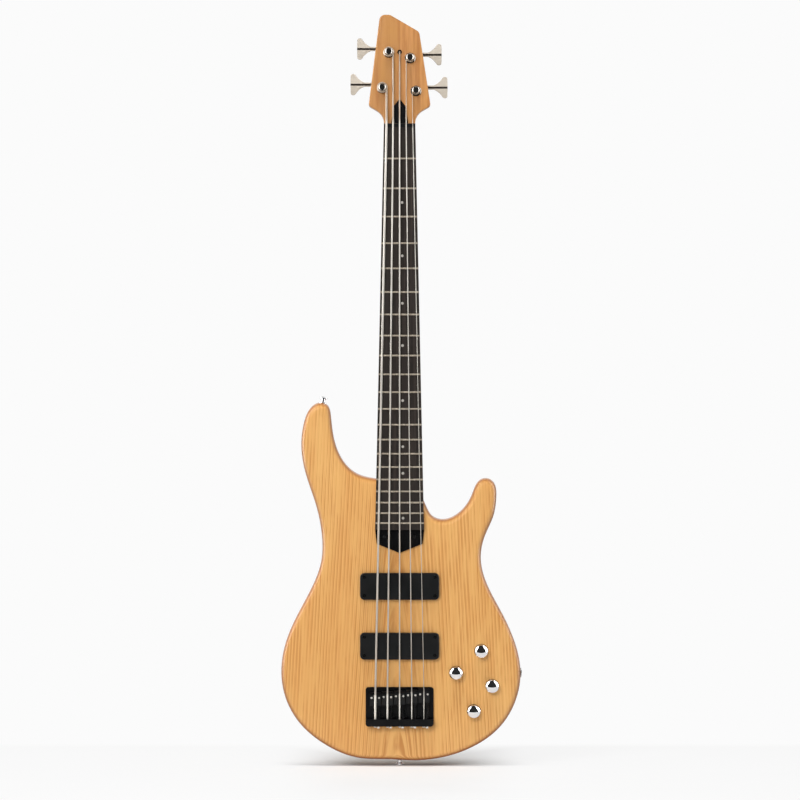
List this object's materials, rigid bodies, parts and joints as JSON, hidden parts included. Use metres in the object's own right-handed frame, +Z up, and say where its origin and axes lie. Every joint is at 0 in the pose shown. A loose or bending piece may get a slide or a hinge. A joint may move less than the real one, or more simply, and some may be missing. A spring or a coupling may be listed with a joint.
{
  "type": "electric bass guitar",
  "caption": "Solid-body electric bass guitar with a bolt-on neck, worm-geared tuners, sliding bridge saddles, soapbar pickups and turning control knobs.",
  "frame": {"origin": "centre of the outer end of the lower strap button, the lowest point of the upright instrument", "axes": "+Z up along the strings to the headstock, +X to the treble side as seen from the front, +Y from the front to the back"},
  "size_m": [0.3682, 0.0572, 1.1502],
  "materials": {
    "body_wood": "satin clear lacquer over ash",
    "neck_wood": "satin clear lacquer over maple",
    "fingerboard_wood": "oiled dark hardwood",
    "fret_steel": "polished",
    "dot_pearl": "polished",
    "black_plastic": "satin moulded",
    "black_gloss": "gloss",
    "black_metal": "satin black plating",
    "chrome_plate": "polished chrome plate",
    "plain_steel": "bare",
    "coil_copper": "enamelled wire",
    "foam_rubber": "open cell",
    "string_steel": "bright wound",
    "gear_brass": "machined"
  },
  "bodies": {
    "instrument": {"body": "body_wood", "neck": "neck_wood", "fingerboard": "fingerboard_wood", "frets": "fret_steel", "position_dots": "dot_pearl", "nut": "black_plastic", "truss_rod": "plain_steel", "truss_rod_cover": "black_gloss", "heel_cover": "black_gloss", "cover_screws": "black_metal", "neck_screws": "chrome_plate", "neck_ferrules": "chrome_plate", "strap_button_end": "chrome_plate", "strap_button_horn": "chrome_plate", "wood_screws": "black_metal", "neck_pickup_cover": "black_plastic", "bridge_pickup_cover": "black_plastic", "pickup_coils": "coil_copper", "pickup_screws": "black_metal", "pickup_foam": "foam_rubber", "bridge_plate": "black_metal", "intonation_screws": "black_metal", "intonation_springs": "black_metal", "potentiometers": "plain_steel", "panel_nuts": "plain_steel", "output_jack": "chrome_plate", "control_cover": "black_plastic", "tuner_plates": "chrome_plate", "headstock_ferrules": "chrome_plate", "tuner_screws": "chrome_plate", "string_b": "string_steel", "string_e": "string_steel", "string_a": "string_steel", "string_d": "string_steel", "string_g": "string_steel"},
    "key_1": {"tuner_key_1": "chrome_plate", "worm_shaft_1": "plain_steel"},
    "post_1": {"tuner_post_1": "chrome_plate", "tuner_gear_1": "gear_brass"},
    "key_2": {"tuner_key_2": "chrome_plate", "worm_shaft_2": "plain_steel"},
    "post_2": {"tuner_post_2": "chrome_plate", "tuner_gear_2": "gear_brass"},
    "key_3": {"tuner_key_3": "chrome_plate", "worm_shaft_3": "plain_steel"},
    "post_3": {"tuner_post_3": "chrome_plate", "tuner_gear_3": "gear_brass"},
    "key_4": {"tuner_key_4": "chrome_plate", "worm_shaft_4": "plain_steel"},
    "post_4": {"tuner_post_4": "chrome_plate", "tuner_gear_4": "gear_brass"},
    "knob_1_body": {"knob_1": "chrome_plate"},
    "knob_2_body": {"knob_2": "chrome_plate"},
    "knob_3_body": {"knob_3": "chrome_plate"},
    "knob_4_body": {"knob_4": "chrome_plate"},
    "saddle_b_body": {"saddle_b": "black_metal"},
    "saddle_e_body": {"saddle_e": "black_metal"},
    "saddle_a_body": {"saddle_a": "black_metal"},
    "saddle_d_body": {"saddle_d": "black_metal"},
    "saddle_g_body": {"saddle_g": "black_metal"}
  },
  "joints": [
    {"name": "key_1_turn", "type": "hinge", "parent": "instrument", "child": "key_1", "pos_m": [-0.0266, 0.00705, 1.0431], "axis": [1, 0, 0], "continuous": true},
    {"name": "post_1_turn", "type": "hinge", "parent": "instrument", "child": "post_1", "pos_m": [-0.0266, -0.01355, 1.03861], "axis": [0, -0.9848, 0.1736], "continuous": true},
    {"name": "key_2_turn", "type": "hinge", "parent": "instrument", "child": "key_2", "pos_m": [-0.01653, 0.01661, 1.09736], "axis": [1, 0, 0], "continuous": true},
    {"name": "post_2_turn", "type": "hinge", "parent": "instrument", "child": "post_2", "pos_m": [-0.01653, -0.00398, 1.09287], "axis": [0, -0.9848, 0.1736], "continuous": true},
    {"name": "key_3_turn", "type": "hinge", "parent": "instrument", "child": "key_3", "pos_m": [0.02489, 0.00626, 1.03863], "axis": [1, 0, 0], "continuous": true},
    {"name": "post_3_turn", "type": "hinge", "parent": "instrument", "child": "post_3", "pos_m": [0.02489, -0.01434, 1.03414], "axis": [0, -0.9848, 0.1736], "continuous": true},
    {"name": "key_4_turn", "type": "hinge", "parent": "instrument", "child": "key_4", "pos_m": [0.01587, 0.01507, 1.08859], "axis": [1, 0, 0], "continuous": true},
    {"name": "post_4_turn", "type": "hinge", "parent": "instrument", "child": "post_4", "pos_m": [0.01587, -0.00553, 1.0841], "axis": [0, -0.9848, 0.1736], "continuous": true},
    {"name": "knob_1_turn", "type": "hinge", "parent": "instrument", "child": "knob_1_body", "pos_m": [0.12499, -0.02, 0.17642], "axis": [0, -1, 0], "range_deg": [-150, 150]},
    {"name": "knob_2_turn", "type": "hinge", "parent": "instrument", "child": "knob_2_body", "pos_m": [0.08638, -0.02, 0.14289], "axis": [0, -1, 0], "range_deg": [-150, 150]},
    {"name": "knob_3_turn", "type": "hinge", "parent": "instrument", "child": "knob_3_body", "pos_m": [0.14164, -0.02, 0.1227], "axis": [0, -1, 0], "range_deg": [-150, 150]},
    {"name": "knob_4_turn", "type": "hinge", "parent": "instrument", "child": "knob_4_body", "pos_m": [0.11346, -0.02, 0.08414], "axis": [0, -1, 0], "range_deg": [-150, 150]},
    {"name": "saddle_b_slide", "type": "slide", "parent": "instrument", "child": "saddle_b_body", "axis": [0, 0, 1], "range_m": [-0.005, 0.0025], "deforming": ["intonation_springs", "string_b"]},
    {"name": "saddle_e_slide", "type": "slide", "parent": "instrument", "child": "saddle_e_body", "axis": [0, 0, 1], "range_m": [-0.005, 0.0025], "deforming": ["intonation_springs", "string_e"]},
    {"name": "saddle_a_slide", "type": "slide", "parent": "instrument", "child": "saddle_a_body", "axis": [0, 0, 1], "range_m": [-0.005, 0.0025], "deforming": ["intonation_springs", "string_a"]},
    {"name": "saddle_d_slide", "type": "slide", "parent": "instrument", "child": "saddle_d_body", "axis": [0, 0, 1], "range_m": [-0.005, 0.0025], "deforming": ["intonation_springs", "string_d"]},
    {"name": "saddle_g_slide", "type": "slide", "parent": "instrument", "child": "saddle_g_body", "axis": [0, 0, 1], "range_m": [-0.005, 0.0025], "deforming": ["intonation_springs", "string_g"]}
  ],
  "couplings": [
    {"joint": "post_1_turn", "follows": "key_1_turn", "ratio": 0.05},
    {"joint": "post_2_turn", "follows": "key_2_turn", "ratio": 0.05},
    {"joint": "post_3_turn", "follows": "key_3_turn", "ratio": 0.05},
    {"joint": "post_4_turn", "follows": "key_4_turn", "ratio": 0.05}
  ]
}
